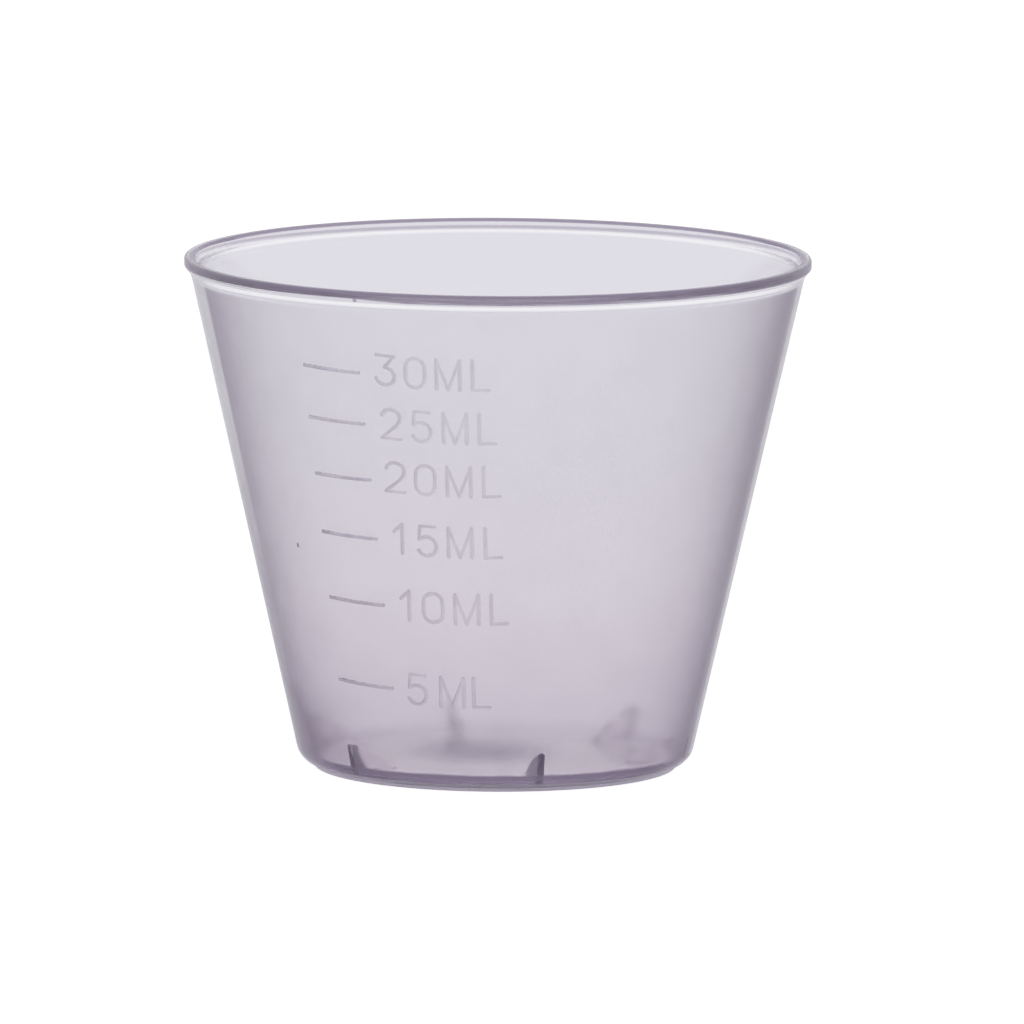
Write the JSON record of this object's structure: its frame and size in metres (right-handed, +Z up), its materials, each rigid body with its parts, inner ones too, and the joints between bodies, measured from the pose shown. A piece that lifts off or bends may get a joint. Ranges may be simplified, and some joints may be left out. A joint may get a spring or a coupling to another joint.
{
  "type": "medicine cup",
  "caption": "Small tapered dosing cup of translucent plastic, moulded in one piece, with a lipped rim, raised graduation lines and short radial ribs inside its foot.",
  "frame": {"origin": "centre of the underside, on the plane of the foot ring", "axes": "+Z up the cup's axis to the open rim; -Y is the front, from where the graduations stand left of the middle"},
  "size_m": [0.0463, 0.0462, 0.0379],
  "materials": {
    "translucent_plastic": "natural polypropylene, translucent and faintly grey, smooth with a soft gloss"
  },
  "bodies": {
    "root": {"cup": "translucent_plastic"}
  },
  "joints": []
}
